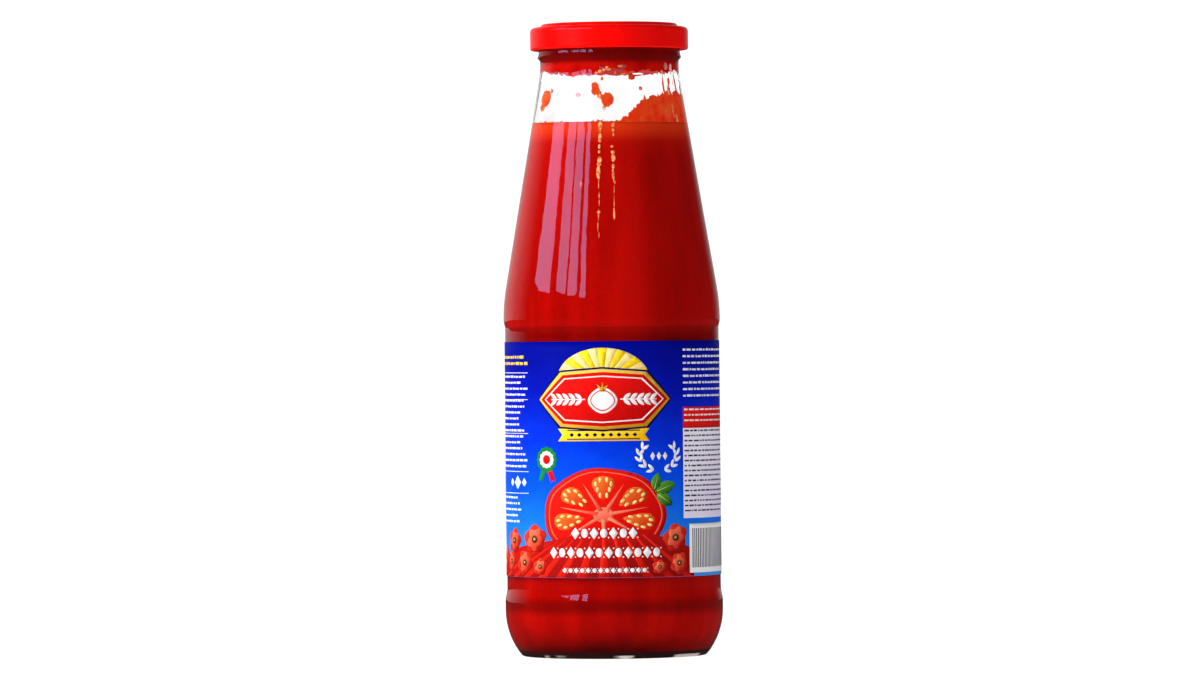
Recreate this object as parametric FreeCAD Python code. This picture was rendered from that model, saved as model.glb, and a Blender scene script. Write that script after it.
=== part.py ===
"""A jar of tomato passata: a tall flint-glass jar with a conical shoulder, filled, labelled and closed.

Five pieces, one STEP file each: the glass jar, the passata in it, the wrap-round paper label, the twist-off
tinplate lid, and the sealing ring in the lid's channel. Millimetres, +Z up. The origin is the centre of the
foot, on the surface that the jar stands on. The label's front faces -Y.

The heights of the foot, beads, label and shoulder are stacked up from the foot, and those of the lid, threads,
neck and fill level are stacked down from the lip. The cone joins the two stacks.
"""

import FreeCAD
import Part

import math
import os

Vector = FreeCAD.Vector
UP = Vector(0, 0, 1)
CENTRE = Vector(0, 0, 0)

# ---- glass jar, from the foot up ----
jar_height = 221.2  # foot to lip
panel_radius = 37.9  # the straight side that carries the label
heel_bead_proud = 0.7  # the two beads stand out past the label, so that jars rub on glass and not on paper
heel_bead_top = 20.0
heel_bead_fade = 3.5  # height over which the bead falls back to the panel
foot_inset = 6.1  # from the heel bead's radius in to the outside of the foot
heel_slope_deg = 50.0
heel_round = 25.0
foot_round = 2.0
bearing_width = 3.6  # the ring that touches the table
punt_slope_width = 13.5  # the push-up under the base, from the bearing ring to its flat middle
punt_height = 3.4
shoulder_bead_proud = 0.5
shoulder_bead_fade = 2.0
shoulder_bead_height = 6.5  # from the bead's lower edge to where the cone's line meets it
shoulder_round = 66.0

# ---- glass jar, from the lip down ----
finish_depth = 10.6  # lip to the underside of the transfer ring
neck_length = 4.3  # transfer ring to where the cone's line meets the neck
neck_radius = 24.6
neck_round = 38.0
ring_proud = 1.05  # the transfer ring, just below the lid
ring_depth = 1.0
ring_fade = 1.5
finish_proud = 0.45  # the glass under the lid, between its threads
lip_round = 1.3

# ---- glass jar: walls ----
wall = 2.4
neck_wall = 2.6
base_thickness = 3.9  # under the lowest part of the inside
floor_crown = 3.1  # how far the inside floor rises over the push-up
inside_heel_round = 14.0
floor_rim = 2.5  # flat of the inside floor, between its heel and its crown

# ---- threads on the glass, and the lugs that catch them ----
thread_count = 4
thread_depth = 1.15
thread_thickness = 1.5
thread_sweep_deg = 72.0
thread_rise = 2.6
lug_sweep_deg = 15.0
lug_set_deg = 6.0  # how far past the thread's lower end a lug stops
lug_thickness = 0.8
lug_play = 0.4  # between a lug and the glass behind it
thread_play = 0.1  # between a lug and the thread above it

# ---- lid ----
sheet = 0.2  # tinplate
skirt_room = 1.6  # between the threads and the skirt
lid_height = 9.3
curl_radius = 0.75
lid_corner_round = 1.6
panel_rise = 1.2  # the raised rim stands this high over the channel above the lip
panel_inset = 4.2  # from the skirt to the top edge of the raised rim
panel_slope_width = 0.6
rim_width = 1.3
rim_height = 0.35  # over the flat panel
button_radius = 9.5
button_depth = 0.45
button_slope_width = 0.8

# ---- sealing ring ----
seal_thickness = 1.0
seal_overhang = 0.5  # past the lip on each side
seal_crown = 0.9  # it stands higher by this where it fills the raised rim
seal_play = 0.02

# ---- passata ----
headspace = 34.0  # lip down to the level
meniscus_height = 0.5
meniscus_round = 1.3

# ---- label ----
label_height = 82.7
label_margin = 5.1  # from the label's edges to the beads
paper = 0.14
glue = 0.02
label_overlap_deg = 11.0
label_ramp_deg = 1.5
label_seam_deg = 100.0  # where the paper's outer end lies, counted from +X towards +Y

# ---- what follows from them ----
body_radius = panel_radius - wall
bore_radius = neck_radius - neck_wall
heel_radius = panel_radius + heel_bead_proud
shoulder_radius = panel_radius + shoulder_bead_proud
foot_radius = heel_radius - foot_inset
bearing_radius = foot_radius - bearing_width
finish_radius = neck_radius + finish_proud
lid_radius = finish_radius + thread_depth + skirt_room + sheet

label_bottom = heel_bead_top + heel_bead_fade + label_margin
panel_top = label_bottom + label_height + label_margin
cone_bottom = panel_top + shoulder_bead_fade + shoulder_bead_height
ring_bottom = jar_height - finish_depth
cone_top = ring_bottom - neck_length
fill_height = jar_height - headspace

seal_bottom = jar_height + seal_play
seal_top = seal_bottom + seal_thickness
channel_top = seal_top + seal_play + sheet
lid_top = channel_top + panel_rise
lid_bottom = lid_top - lid_height


def at(radius, height):
    """A point of a half section: radius along X, height along Z."""
    return Vector(radius, 0, height)


def straight(start, end):
    return Part.LineSegment(start, end).toShape()


def path(corners):
    """Straight runs through corners of (radius, height, rounding), with a tangent arc at each rounded corner."""
    edges = []
    last = at(*corners[0][:2])
    for before, corner, after in zip(corners, corners[1:], corners[2:]):
        point = at(*corner[:2])
        rounding = corner[2]
        inward = (at(*before[:2]) - point).normalize()
        outward = (at(*after[:2]) - point).normalize()
        half_angle = inward.getAngle(outward) / 2
        start = point + inward * (rounding / math.tan(half_angle))
        end = point + outward * (rounding / math.tan(half_angle))
        edges.append(straight(last, start))
        if rounding:
            to_middle = rounding / math.sin(half_angle) - rounding
            middle = point + (inward + outward).normalize() * to_middle
            edges.append(Part.Arc(start, middle, end).toShape())
        last = end
    edges.append(straight(last, at(*corners[-1][:2])))
    return edges


def turned(corners):
    """A closed half section, its last corner joined to its first, turned about Z into a solid."""
    edges = path(corners)
    edges.append(straight(at(*corners[-1][:2]), at(*corners[0][:2])))
    outline = Part.Wire(Part.__sortEdges__(edges))
    return Part.Face(outline).revolve(CENTRE, UP, 360)


def one_solid(shape):
    """The only solid of a cut or a fusion, its split faces joined."""
    return shape.removeSplitter().Solids[0]


def outside():
    """The jar's outside, from the centre of the push-up to the lip."""
    heel_corner = foot_inset * math.tan(math.radians(heel_slope_deg))
    return [
        (0, punt_height, 0),
        (bearing_radius - punt_slope_width, punt_height, 12.0),
        (bearing_radius, 0, 1.0),
        (foot_radius, 0, foot_round),
        (heel_radius, heel_corner, heel_round),
        (heel_radius, heel_bead_top, 8.0),
        (panel_radius, heel_bead_top + heel_bead_fade, 8.0),
        (panel_radius, panel_top, 1.5),
        (shoulder_radius, panel_top + shoulder_bead_fade, 3.0),
        (shoulder_radius, cone_bottom, shoulder_round),
        (neck_radius, cone_top, neck_round),
        (neck_radius, ring_bottom, 0.4),
        (neck_radius + ring_proud, ring_bottom + ring_depth, 0.4),
        (finish_radius, ring_bottom + ring_depth + ring_fade, 0.5),
        (finish_radius, jar_height, lip_round),
    ]


def inside():
    """The jar's inside, from the lip to the centre of the floor."""
    crown_radius = body_radius - inside_heel_round - floor_rim
    return [
        (bore_radius, jar_height, lip_round),
        (bore_radius, cone_top, neck_round),
        (body_radius, cone_bottom, shoulder_round),
        (body_radius, base_thickness, inside_heel_round),
        (crown_radius, base_thickness, 20.0),
        (0, base_thickness + floor_crown, 0),
    ]


def thread(angle_deg, start_height):
    """One sloping thread on the glass, its lower end at this angle and height."""
    pitch = thread_rise * 360 / thread_sweep_deg
    helix = Part.makeHelix(pitch, thread_rise, finish_radius)
    root = finish_radius - thread_depth / 2
    tip = finish_radius + thread_depth
    at_root = thread_thickness / 2
    at_tip = thread_thickness / 6
    section = Part.makePolygon(
        [at(root, -at_root), at(tip, -at_tip), at(tip, at_tip), at(root, at_root), at(root, -at_root)]
    )
    ridge = Part.Wire(helix.Edges).makePipeShell([section], True, True)
    ridge.rotate(CENTRE, UP, angle_deg)
    ridge.translate(UP * start_height)
    return ridge


def glass_jar():
    """The blown glass jar, with its threads."""
    lug_top = lid_bottom + curl_radius + lug_thickness / 2
    start_height = lug_top + thread_play + thread_thickness / 2
    threads = [thread(number * 360 / thread_count, start_height) for number in range(thread_count)]
    return one_solid(turned(outside() + inside()).fuse(threads))


def passata():
    """What the jar holds. It fills the inside to its level, and creeps a little up the glass."""
    cavity = turned([(0, jar_height, 0)] + [(bore_radius, jar_height, 0)] + inside()[1:])
    slope = (body_radius - bore_radius) / (cone_top - cone_bottom)
    level_radius = body_radius - (fill_height - cone_bottom) * slope
    edge = level_radius + meniscus_height
    headspace_above = turned(
        [
            (0, fill_height, 0),
            (level_radius - meniscus_round, fill_height, meniscus_round),
            (edge, fill_height + meniscus_height + meniscus_round, 0),
            (edge, jar_height, 0),
            (0, jar_height, 0),
        ]
    )
    return one_solid(cavity.cut(headspace_above))


def label():
    """The paper label, wrapped once round, its outer end glued over its inner end."""
    inner = panel_radius + glue
    outer = inner + paper
    lift = paper + glue
    ramp_end = 360 - label_overlap_deg
    ramp_start = ramp_end - label_ramp_deg

    def on_wrap(radius, degrees):
        angle = math.radians(label_seam_deg + degrees)
        return Vector(radius * math.cos(angle), radius * math.sin(angle), label_bottom)

    def arc(radius, start, end):
        middle = on_wrap(radius, (start + end) / 2)
        return Part.Arc(on_wrap(radius, start), middle, on_wrap(radius, end)).toShape()

    def layer(radius):
        """One face of the paper: round the panel, up the ramp, and over the paper's own inner end."""
        round_panel = arc(radius, -label_overlap_deg, ramp_start)
        ramp = straight(on_wrap(radius, ramp_start), on_wrap(radius + lift, ramp_end))
        return [round_panel, ramp, arc(radius + lift, ramp_end, 360)]

    inner_end = straight(on_wrap(inner, -label_overlap_deg), on_wrap(outer, -label_overlap_deg))
    outer_end = straight(on_wrap(inner + lift, 360), on_wrap(outer + lift, 360))
    outline = Part.Wire(Part.__sortEdges__(layer(inner) + layer(outer) + [inner_end, outer_end]))
    return Part.Face(outline).extrude(UP * label_height)


def lid_shell():
    """The pressed lid: button, panel, raised rim, channel over the lip, skirt, and edge rolled inwards."""
    panel = lid_top - rim_height
    rim_outside = lid_radius - panel_inset
    rim_inside = rim_outside - rim_width
    edges = path(
        [
            (0, panel - button_depth, 0),
            (button_radius - button_slope_width, panel - button_depth, 1.2),
            (button_radius, panel, 1.2),
            (rim_inside - rim_width, panel, 1.5),
            (rim_inside, lid_top, 0.8),
            (rim_outside, lid_top, 0.5),
            (rim_outside + panel_slope_width, channel_top, 0.5),
            (lid_radius, channel_top, lid_corner_round),
            (lid_radius, lid_bottom + curl_radius, 0),
        ]
    )
    roll_centre = at(lid_radius - curl_radius, lid_bottom + curl_radius)
    roll = Part.makeCircle(curl_radius, roll_centre, Vector(0, 1, 0), 0, 270)
    outer_face = Part.Wire(Part.__sortEdges__(edges + [roll]))
    section = outer_face.makeOffset2D(-sheet, 0, True, True, False)
    return section.revolve(CENTRE, UP, 360)


def lug(angle_deg):
    """One lug, pressed inwards from the rolled edge to catch under a thread."""
    inner = finish_radius + lug_play
    outer = lid_radius - 2 * curl_radius + sheet / 2
    bottom = lid_bottom + curl_radius - lug_thickness / 2
    block = Part.makePlane(outer - inner, lug_thickness, at(inner, bottom), Vector(0, -1, 0), Vector(1, 0, 0))
    block.rotate(CENTRE, UP, angle_deg)
    return block.revolve(CENTRE, UP, lug_sweep_deg)


def lid():
    """The twist-off lid of painted tinplate, screwed home."""
    lugs = [lug(lug_set_deg + number * 360 / thread_count) for number in range(thread_count)]
    return one_solid(lid_shell().fuse(lugs))


def sealing_ring():
    """The soft ring flowed into the lid, which the lip presses. It fills the raised rim from below."""
    inner = bore_radius - seal_overhang
    outer = finish_radius + seal_overhang
    rim_outside = lid_radius - panel_inset - sheet
    crown_top = seal_top + seal_crown
    return turned(
        [
            (inner, seal_bottom, 0),
            (outer, seal_bottom, 0),
            (outer, seal_top, 0),
            (rim_outside, seal_top, 0),
            (rim_outside - sheet, crown_top, 0),
            (rim_outside - rim_width, crown_top, 0),
            (inner, seal_top, 0),
        ]
    )


PIECES = {
    "glass_jar": glass_jar,
    "passata": passata,
    "paper_label": label,
    "lid": lid,
    "sealing_ring": sealing_ring,
}

os.makedirs("parts", exist_ok=True)
for name, build in PIECES.items():
    piece = build()
    piece.exportStep("parts/" + name + ".step")
    print(name, piece.ShapeType, "valid", piece.isValid(), "cm3 %.2f" % (piece.Volume / 1000))
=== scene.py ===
"""The looks of a jar of tomato passata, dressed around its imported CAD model.

Metres, +Z up, the label's front faces -Y. The sections follow the order in which such a jar is made up: the
glass, what is filled in, what clings to the glass, the lid, the label and its print, and then the studio.
"""

import bmesh
import bpy
import math
import random
from functools import partial
from mathutils import Matrix, Vector, noise


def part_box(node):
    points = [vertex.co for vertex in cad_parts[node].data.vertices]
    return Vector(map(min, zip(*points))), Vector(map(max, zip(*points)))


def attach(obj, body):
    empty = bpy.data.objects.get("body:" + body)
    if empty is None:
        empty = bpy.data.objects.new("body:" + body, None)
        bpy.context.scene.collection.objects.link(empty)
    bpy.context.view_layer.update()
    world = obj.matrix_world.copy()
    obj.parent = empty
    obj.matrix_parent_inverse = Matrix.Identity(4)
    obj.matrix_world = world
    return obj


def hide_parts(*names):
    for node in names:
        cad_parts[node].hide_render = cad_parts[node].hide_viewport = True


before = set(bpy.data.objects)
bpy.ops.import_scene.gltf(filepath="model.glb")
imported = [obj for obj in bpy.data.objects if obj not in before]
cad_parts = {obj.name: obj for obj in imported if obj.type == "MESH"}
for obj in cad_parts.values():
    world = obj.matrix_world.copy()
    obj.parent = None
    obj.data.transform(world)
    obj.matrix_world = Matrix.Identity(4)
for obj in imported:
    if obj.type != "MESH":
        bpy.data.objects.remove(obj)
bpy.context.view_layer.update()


# ---- The glass jar ----
# Clear flint glass, blown in a mould of two halves and fire-polished. The blown side is never quite even, so
# reflections run down it in wavy bands, and the mould's joint leaves a faint ridge at each side.

MM = 0.001
BODY = "root"
ROUND_STEPS = 256  # divisions of a full turn

GLASS_LONGEST_STEP = 2.4 * MM  # along the outline
GLASS_CLOSEST_STEP = 0.3 * MM
THREAD_FREE_AZIMUTH = math.radians(81)  # the outline is taken here, between two threads
RIPPLE_DEPTH = 0.11 * MM
RIPPLE_ACROSS = 13 * MM
RIPPLE_ALONG = 34 * MM
SIDE_RADIUS = 38 * MM
FADE_AT_FOOT = 6 * MM  # the ripple dies away over these heights
FADE_AT_FINISH = 4 * MM
MOULD_RIDGE_PROUD = 0.06 * MM
MOULD_RIDGE_WIDTH = 0.7 * MM
FINISH_BOTTOM = 213 * MM  # the threaded part under the lid is ground true and has no ripple
FOOT_TOP = 2.5 * MM
STIPPLE_TOP = 2.3 * MM
PAINTED_GLINTS_BELOW = 1.5 * MM
GLASS_IOR = 1.52
STACKING_RIDGE = 19.2 * MM  # a faint step round the heel, which keeps jars from scuffing their labels
STACKING_RIDGE_WIDTH = 1.4 * MM
CONE_BOTTOM = 122 * MM  # between these two heights the glass was blown thinnest and is least even
CONE_TOP = 198 * MM
CONE_FADE = 4 * MM


def half_section(name, closest, longest):
    """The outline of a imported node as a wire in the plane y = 0, x >= 0, its points at even spacing."""
    bm = bmesh.new()
    bm.from_mesh(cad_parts[name].data)
    bmesh.ops.remove_doubles(bm, verts=bm.verts, dist=1e-6)
    bmesh.ops.rotate(bm, verts=bm.verts, cent=(0, 0, 0), matrix=Matrix.Rotation(-THREAD_FREE_AZIMUTH, 3, "Z"))
    for across, both_sides in [((0, 1, 0), True), ((1, 0, 0), False)]:
        bmesh.ops.bisect_plane(
            bm,
            geom=bm.verts[:] + bm.edges[:] + bm.faces[:],
            plane_co=(0, 0, 0),
            plane_no=across,
            clear_inner=True,
            clear_outer=both_sides,
            dist=1e-7,
        )
    bmesh.ops.remove_doubles(bm, verts=bm.verts, dist=closest)
    for edge in bm.edges[:]:
        cuts = int(edge.calc_length() / longest)
        if cuts:
            bmesh.ops.subdivide_edges(bm, edges=[edge], cuts=cuts)
    return bm


def turn(bm, steps=ROUND_STEPS):
    """Turns a half section about Z into a closed shell with outward faces."""
    outline = bm.verts[:] + bm.edges[:]
    bmesh.ops.spin(
        bm, geom=outline, cent=(0, 0, 0), axis=(0, 0, 1), angle=math.tau, steps=steps, use_merge=True
    )
    bmesh.ops.remove_doubles(bm, verts=bm.verts, dist=1e-7)
    bmesh.ops.recalc_face_normals(bm, faces=bm.faces)
    bm.normal_update()


def outward(point):
    """The level direction from the jar's axis to a point."""
    return Vector((point.x, point.y, 0)).normalized()


def put_in_scene(name, data):
    """An object at the origin with this mesh, lamp or camera."""
    thing = bpy.data.objects.new(name, data)
    bpy.context.scene.collection.objects.link(thing)
    return thing


def finished(bm, name, materials, replaced=()):
    """Makes the mesh a piece of the jar: smooth shaded, with its materials, riding on the one body."""
    mesh = bpy.data.meshes.new(name)
    bm.to_mesh(mesh)
    bm.free()
    mesh.shade_smooth()
    for material in materials:
        mesh.materials.append(material)
    piece = put_in_scene(name, mesh)
    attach(piece, BODY)
    for node in replaced:
        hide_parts(node)


def linear(hex_colour):
    """An sRGB hex colour as the linear colour that a socket takes."""
    channels = [int(hex_colour[place:place + 2], 16) / 255 for place in (1, 3, 5)]
    return [c / 12.92 if c <= 0.04045 else ((c + 0.055) / 1.055) ** 2.4 for c in channels] + [1]


def add_node(owner, kind, inputs=(), **settings):
    """Adds a node with its settings. An input is a value, a socket, or a node, for its first output."""
    tree = owner.node_tree
    node = tree.nodes.new("ShaderNode" + kind)
    for name, value in settings.items():
        setattr(node, name, value)
    for name, value in dict(inputs).items():
        if isinstance(value, bpy.types.Node):
            value = next(socket for socket in value.outputs if socket.enabled)
        if isinstance(value, bpy.types.NodeSocket):
            tree.links.new(value, node.inputs[name])
        else:
            node.inputs[name].default_value = value
    return node


def make_material(name, recipe, *choices):
    """A material of that name. Its recipe adds the nodes and gives the shader of the surface."""
    material = bpy.data.materials.new(name)
    material.use_nodes = True
    material.node_tree.nodes.clear()
    add = partial(add_node, material)
    add("OutputMaterial", {"Surface": recipe(add, *choices)})
    return material


def set_ramp(node, stops):
    """Gives a Color Ramp its stops of (position, sRGB hex colour), and gives it back."""
    elements = node.color_ramp.elements
    while len(elements) < len(stops):
        elements.new(0.5)
    for element, (position, colour) in zip(elements, stops):
        element.position = position
        element.color = linear(colour)
    return node


def flint_glass(add):
    """Clear soda-lime glass. Light that only lights what is behind it goes straight through."""
    place = add("TexCoord").outputs["Object"]
    height = add("SeparateXYZ", {"Vector": place}).outputs["Z"]
    waviness = add("TexNoise", {"Vector": place, "Scale": 120.0, "Detail": 1.0})
    fine_waviness = add("TexNoise", {"Vector": place, "Scale": 420.0, "Detail": 2.0})
    cone_start = {"From Min": CONE_BOTTOM - CONE_FADE, "From Max": CONE_BOTTOM + CONE_FADE}
    on_cone = add("MapRange", {"Value": height, **cone_start, "To Max": 0.22})
    cone_end = {"From Min": CONE_TOP - CONE_FADE, "From Max": CONE_TOP + CONE_FADE}
    below_neck = add("MapRange", {"Value": height, **cone_end, "To Min": 1.0, "To Max": 0.0})
    fine_share = add("Math", {0: on_cone, 1: below_neck}, operation="MULTIPLY")
    blown = add("Math", {0: fine_waviness, 1: fine_share, 2: waviness}, operation="MULTIPLY_ADD")
    ridge = add(
        "MapRange",
        {"Value": height, "From Min": STACKING_RIDGE - STACKING_RIDGE_WIDTH, "From Max": STACKING_RIDGE},
        interpolation_type="SMOOTHERSTEP",
    )
    unevenness = add("Math", {0: ridge, 1: 1.2, 2: blown}, operation="MULTIPLY_ADD")
    bump = add("Bump", {"Height": unevenness, "Strength": 0.55, "Distance": 0.15 * MM})
    glass = add("BsdfPrincipled", {
        "Base Color": linear("#fdfefe"),
        "Roughness": 0.0,
        "IOR": GLASS_IOR,
        "Transmission Weight": 1.0,
        "Normal": bump,
    })
    clear = add("BsdfTransparent", {"Color": linear("#f6f8f7")})
    path = add("LightPath").outputs
    lighting = add("Math", {0: path["Is Shadow Ray"], 1: path["Is Diffuse Ray"]}, operation="MAXIMUM")
    return add("MixShader", {0: lighting, 1: glass, 2: clear})


def stippled_glass(add):
    """The ring that the jar stands on is stippled in the mould, against thermal shock. Its colour is painted:
    dark painted shade of the thick glass, with stretches of painted glints where the table's light would
    gather."""
    place = add("TexCoord").outputs["Object"]
    stipple = add("TexVoronoi", {"Vector": place, "Scale": 900.0})
    stretches = add("TexNoise", {"Vector": place, "Scale": 55.0, "Detail": 2.0})
    height = add("SeparateXYZ", {"Vector": place}).outputs["Z"]
    glint_reach = {"From Min": PAINTED_GLINTS_BELOW - 0.4 * MM, "From Max": PAINTED_GLINTS_BELOW, "To Min": 1.0, "To Max": 0.0}
    lowness = add("MapRange", {"Value": height, **glint_reach})
    # painted glints low on the ring, and painted shade elsewhere, in the base colour
    pale = add("Math", {0: stretches, 1: lowness}, operation="MULTIPLY")
    ramp = set_ramp(add("ValToRGB", {"Fac": pale}), [(0.5, "#300608"), (0.56, "#f2e4de")])
    bump = add("Bump", {"Height": stipple, "Strength": 0.6, "Distance": 0.2 * MM})
    return add("BsdfPrincipled", {
        "Base Color": ramp,
        "Roughness": 0.4,
        "IOR": GLASS_IOR,
        "Transmission Weight": 0.15,
        "Normal": bump,
    })


glass_material = make_material("clear_flint_glass", flint_glass)
stippled_material = make_material("stippled_glass_painted_shade_and_glints", stippled_glass)

jar = half_section("glass_jar", GLASS_CLOSEST_STEP, GLASS_LONGEST_STEP)
turn(jar)
for vert in jar.verts:
    away = outward(vert.co)
    if vert.normal.dot(away) < 0.3 or not FOOT_TOP < vert.co.z < FINISH_BOTTOM:
        continue
    fade = min(1, (vert.co.z - FOOT_TOP) / FADE_AT_FOOT, (FINISH_BOTTOM - vert.co.z) / FADE_AT_FINISH)
    around = away * (SIDE_RADIUS / RIPPLE_ACROSS)
    unevenness = noise.noise(Vector((around.x, around.y, vert.co.z / RIPPLE_ALONG)))
    from_ridge = abs(vert.co.y) / MOULD_RIDGE_WIDTH
    ridge = MOULD_RIDGE_PROUD * math.exp(-from_ridge * from_ridge)
    vert.co -= away * (MOULD_RIDGE_PROUD + RIPPLE_DEPTH * (0.5 + 0.5 * unevenness) - ridge) * fade
for face in jar.faces:
    face.material_index = int(face.calc_center_median().z < STIPPLE_TOP)
finished(jar, "jar_glass", [glass_material, stippled_material], ["glass_jar"])

# The four threads on the jar's finish, which the lid's lugs catch. They are moulded with the glass.
THREAD_COUNT = 4
THREAD_SWEEP = math.radians(72)
THREAD_RISE = 2.6 * MM
THREAD_STEPS = 24
THREAD_START_HEIGHT = 216.34 * MM
FINISH_RADIUS = 25.05 * MM
THREAD_DEPTH = 1.15 * MM
THREAD_HALF_THICKNESS = 0.75 * MM

threads = bmesh.new()
for number in range(THREAD_COUNT):
    section = [
        threads.verts.new((FINISH_RADIUS + outwards, 0, THREAD_START_HEIGHT + rise))
        for outwards, rise in [
            (-THREAD_DEPTH / 4, -THREAD_HALF_THICKNESS),
            (THREAD_DEPTH, -THREAD_HALF_THICKNESS / 3),
            (THREAD_DEPTH, THREAD_HALF_THICKNESS / 3),
            (-THREAD_DEPTH / 4, THREAD_HALF_THICKNESS),
        ]
    ]
    face = threads.faces.new(section)
    turn_to_start = Matrix.Rotation(number * math.tau / THREAD_COUNT, 3, "Z")
    bmesh.ops.rotate(threads, verts=section, cent=(0, 0, 0), matrix=turn_to_start)
    bmesh.ops.spin(
        threads,
        geom=[face] + face.verts[:] + face.edges[:],
        cent=(0, 0, 0),
        axis=(0, 0, 1),
        dvec=(0, 0, THREAD_RISE / THREAD_STEPS),
        angle=THREAD_SWEEP,
        steps=THREAD_STEPS,
        use_duplicate=False,
    )
bmesh.ops.recalc_face_normals(threads, faces=threads.faces)
finished(threads, "glass_threads", [glass_material])


# ---- The passata ----
# Sieved tomato, filled hot. It wets the glass all round, so it reaches just into the wall and shows no air
# gap. Its level is not mirror flat, and a little of it creeps up the glass.

REACH_INTO_WALL = 0.1 * MM
MENISCUS = 1.12 * MM  # how far the edge stands over the level
SURFACE_RELIEF = 0.35 * MM
SURFACE_RELIEF_SPACING = 9 * MM
SURFACE_RADIUS = 23 * MM  # outside this the level is calm
PASSATA_LONGEST_STEP = 1.8 * MM
JUICE_IOR = 1.36
PAINTED_GLOW_DEPTH = 13 * MM  # near its level the pulp is painted lighter: painted light, as from the open headspace above it
PAINTED_SHADE_TOP = 200 * MM
# painted shade and a painted highlight on the passata, by the height in mm, for the thick, bent glass in
# front:
# darker over the heel's step and under the shoulder's bead, with a painted light line at that bead's lower
# edge
PAINTED_SHADE_AND_HIGHLIGHT = [
    (14.8, "#f6f6f6"),
    (17.4, "#bababa"),
    (19.0, "#bababa"),
    (21.8, "#f6f6f6"),
    (109.0, "#f2f2f2"),
    (113.0, "#c6c6c6"),
    (116.3, "#d2d2d2"),
    (117.2, "#ffffff"),
    (118.2, "#f6f6f6"),
]
_, passata_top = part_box("passata")
LEVEL = passata_top.z - MENISCUS
JUST_UNDER_LEVEL = LEVEL - 1 * MM


def sieved_tomato(add, gloss):
    """A dense wet pulp: deep red, faintly mottled by its fine fibres, a little translucent. It has a gloss of
    its own only at its level, because the glass against it bends light almost as much as it does."""
    place = add("TexCoord").outputs["Object"]
    height = add("SeparateXYZ", {"Vector": place}).outputs["Z"]
    pulp = add("TexNoise", {"Vector": place, "Scale": 700.0, "Detail": 4.0, "Roughness": 0.6})
    drawn_down = add("VectorMath", {0: place, 1: (85.0, 85.0, 6.0)}, operation="MULTIPLY")
    curtains = add("TexNoise", {"Vector": drawn_down, "Scale": 1.0, "Detail": 3.0})
    both = add("Math", {0: pulp, 1: 0.3, 2: curtains}, operation="MULTIPLY_ADD")
    ramp = set_ramp(add("ValToRGB", {"Fac": both}), [(0.45, "#a00301"), (0.85, "#cc0a03")])
    # painted light: towards its level the pulp is painted lighter and more orange, as if lit through the
    # headspace
    top_reach = {"From Min": LEVEL - PAINTED_GLOW_DEPTH, "From Max": LEVEL}
    near_top = add("MapRange", {"Value": height, **top_reach}, interpolation_type="SMOOTHSTEP")
    painted_glow_pulp = set_ramp(add("ValToRGB", {"Fac": near_top}), [(0.55, "#cc1005"), (1.0, "#ee3812")])
    with_painted_glow = add("Mix", {"Factor": near_top, "A": ramp, "B": painted_glow_pulp}, data_type="RGBA")
    # painted shade and a painted highlight line, by height, for the glass in front; the cloud makes their
    # edges uneven
    cloud = add("TexNoise", {"Vector": place, "Scale": 38.0, "Detail": 3.0})
    uneven_height = add("Math", {0: cloud, 1: 2 * MM, 2: height}, operation="MULTIPLY_ADD")
    share = add("MapRange", {"Value": uneven_height, "From Max": PAINTED_SHADE_TOP})
    shade = set_ramp(
        add("ValToRGB", {"Fac": share}), [((stop + 1) * MM / PAINTED_SHADE_TOP, grey) for stop, grey in PAINTED_SHADE_AND_HIGHLIGHT]
    )
    colour = add("Mix", {"Factor": 1.0, "A": with_painted_glow, "B": shade}, data_type="RGBA", blend_type="MULTIPLY")
    return add("BsdfPrincipled", {
        "Base Color": colour,
        "Roughness": 0.3,
        "IOR": JUICE_IOR,
        "Specular IOR Level": gloss,
        "Subsurface Weight": 0.12,
        "Subsurface Radius": (1.0, 0.08, 0.04),
        "Subsurface Scale": 3 * MM,
        "Normal": add("Bump", {"Height": pulp, "Strength": 0.25, "Distance": 0.2 * MM}),
    })


def at_level(normal, height):
    """Whether a part of the passata with this normal and height belongs to its open surface."""
    return normal.z > 0.3 and height > JUST_UNDER_LEVEL


passata = half_section("passata", GLASS_CLOSEST_STEP, PASSATA_LONGEST_STEP)
turn(passata)
for vert in passata.verts:
    if at_level(vert.normal, vert.co.z):
        from_wall = min(1, max(0, 1 - outward(vert.co).dot(vert.co) / SURFACE_RADIUS) * 6)
        sample = Vector((vert.co.x, vert.co.y, 0)) / SURFACE_RELIEF_SPACING
        vert.co.z += SURFACE_RELIEF * noise.noise(sample) * from_wall
    else:
        vert.co += vert.normal * REACH_INTO_WALL
for face in passata.faces:
    face.material_index = int(at_level(face.normal, face.calc_center_median().z))
tomato_materials = [
    make_material("sieved_tomato_in_glass", sieved_tomato, 0.0),
    make_material("sieved_tomato_surface", sieved_tomato, 0.02),
]
finished(passata, "passata_fill", tomato_materials, ["passata"])


# ---- Passata that clings to the glass over the level ----
# Splashes and a film left by filling and by carrying the jar: a band under the lid, a tide mark that climbs
# the right side, and drops. Each is a thin skin on the inside of the glass, thinnest at its ragged edge.

FILM_STEPS = 400
FILM_ROW = 0.35 * MM
FILM_THICKEST = 0.55 * MM
FILM_THINNEST = 0.08 * MM
FILM_REACH_INTO_WALL = 0.04 * MM
BARE_UNDER_LIP = 1.5 * MM
BAND_EDGE = 206.1 * MM  # lower edge of the band under the lid
LID_SHADE_FROM = 209.8 * MM  # above this, inside the transfer ring, it is painted darker red, as painted shade of the lid
BAND_SAG = 1.7 * MM  # how far it hangs down at its lowest
BAND_SAG_AT = -31  # degrees to the right of the front
BAND_SAG_WIDTH = 15
TIDE_HEIGHT = 10.0 * MM  # how far the tide mark climbs over the level
TIDE_RISES = (2, 40)  # between these degrees it climbs to the full
TIDE_FALLS = (84, 128)
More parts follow.
